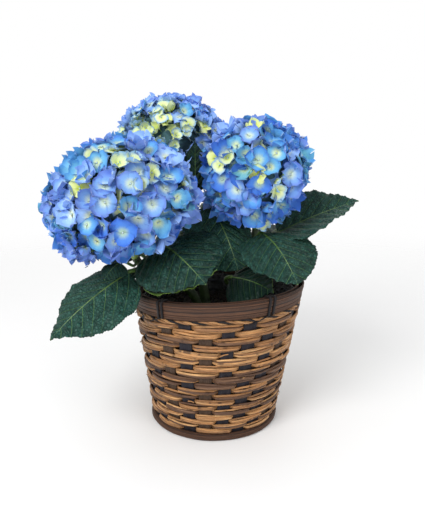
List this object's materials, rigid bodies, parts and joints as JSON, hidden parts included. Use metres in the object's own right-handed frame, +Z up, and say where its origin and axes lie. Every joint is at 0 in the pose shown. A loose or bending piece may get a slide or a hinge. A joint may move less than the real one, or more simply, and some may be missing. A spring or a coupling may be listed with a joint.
{
  "type": "potted hydrangea shrub",
  "caption": "Mophead hydrangea shrub with blue flower heads and broad toothed leaves, standing in a woven round basket with a lashed rim.",
  "frame": {"origin": "centre of the basket's flat underside, on the surface it stands on", "axes": "+Z up out of the basket; -Y is the front, where the two long leaves hang over the rim left and right; +X is to the right seen from the front"},
  "size_m": [0.3172, 0.2814, 0.3532],
  "materials": {
    "weave": "satin",
    "stake": "satin",
    "rim": "satin",
    "binding": "satin",
    "liner": "gloss",
    "soil": "matte",
    "stem": "satin",
    "leaf": "satin",
    "sepal": "matte"
  },
  "bodies": {
    "root": {"basket_base": "stake", "basket_foot_hoop": "rim", "basket_weave": "weave", "basket_rim_outer": "rim", "basket_rim_inner": "rim", "rim_binding_1": "binding", "rim_binding_2": "binding", "rim_binding_3": "binding", "rim_binding_4": "binding", "rim_binding_5": "binding", "basket_liner": "liner", "soil": "soil", "stem_left": "stem", "stem_back": "stem", "stem_right": "stem", "leaf_left_long": "leaf", "leaf_left_small": "leaf", "leaf_front_broad": "leaf", "leaf_front_low": "leaf", "leaf_centre": "leaf", "leaf_centre_small": "leaf", "leaf_right_round": "leaf", "leaf_right_long": "leaf", "leaf_right_low": "leaf", "leaf_right_back": "leaf", "leaf_right_rear": "leaf", "leaf_back_right": "leaf", "leaf_back_long": "leaf", "leaf_back_left": "leaf", "leaf_back_low": "leaf", "leaf_left_low": "leaf", "leaf_right_side": "leaf", "leaf_left_rear": "leaf", "flower_head_left": "sepal", "flower_head_back": "sepal", "flower_head_right": "sepal"}
  },
  "joints": []
}
